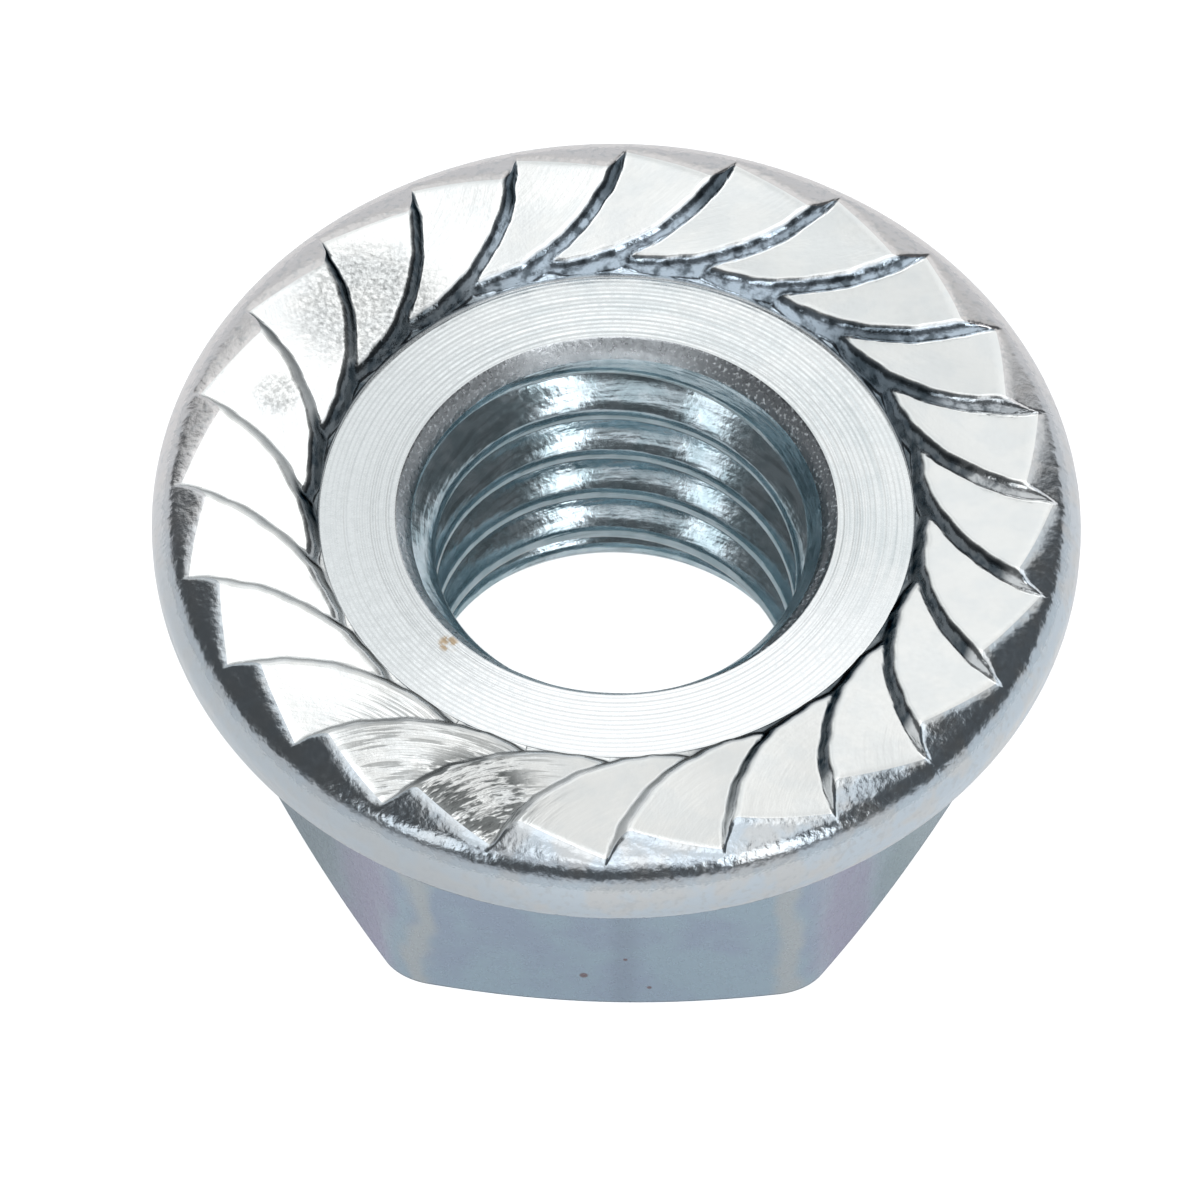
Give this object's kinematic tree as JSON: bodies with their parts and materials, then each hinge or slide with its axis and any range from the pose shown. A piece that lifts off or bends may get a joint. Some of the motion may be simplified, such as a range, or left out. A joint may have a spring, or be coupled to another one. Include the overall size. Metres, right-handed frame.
{
  "type": "serrated flange nut",
  "caption": "Hexagon nut with a round flange whose bearing face carries raked, swept locking teeth around a turned ring and a through thread.",
  "frame": {"origin": "centre of the hexagon's end face, on the thread axis; the nut stands on this face", "axes": "+Z along the thread axis, from the hexagon end towards the serrated bearing face; two of the hexagon's flats face -Y and +Y"},
  "size_m": [0.017, 0.017, 0.0076],
  "materials": {
    "zinc": "bright blue-white zinc plating on forged steel"
  },
  "bodies": {
    "root": {"flange_nut": "zinc"}
  },
  "joints": []
}
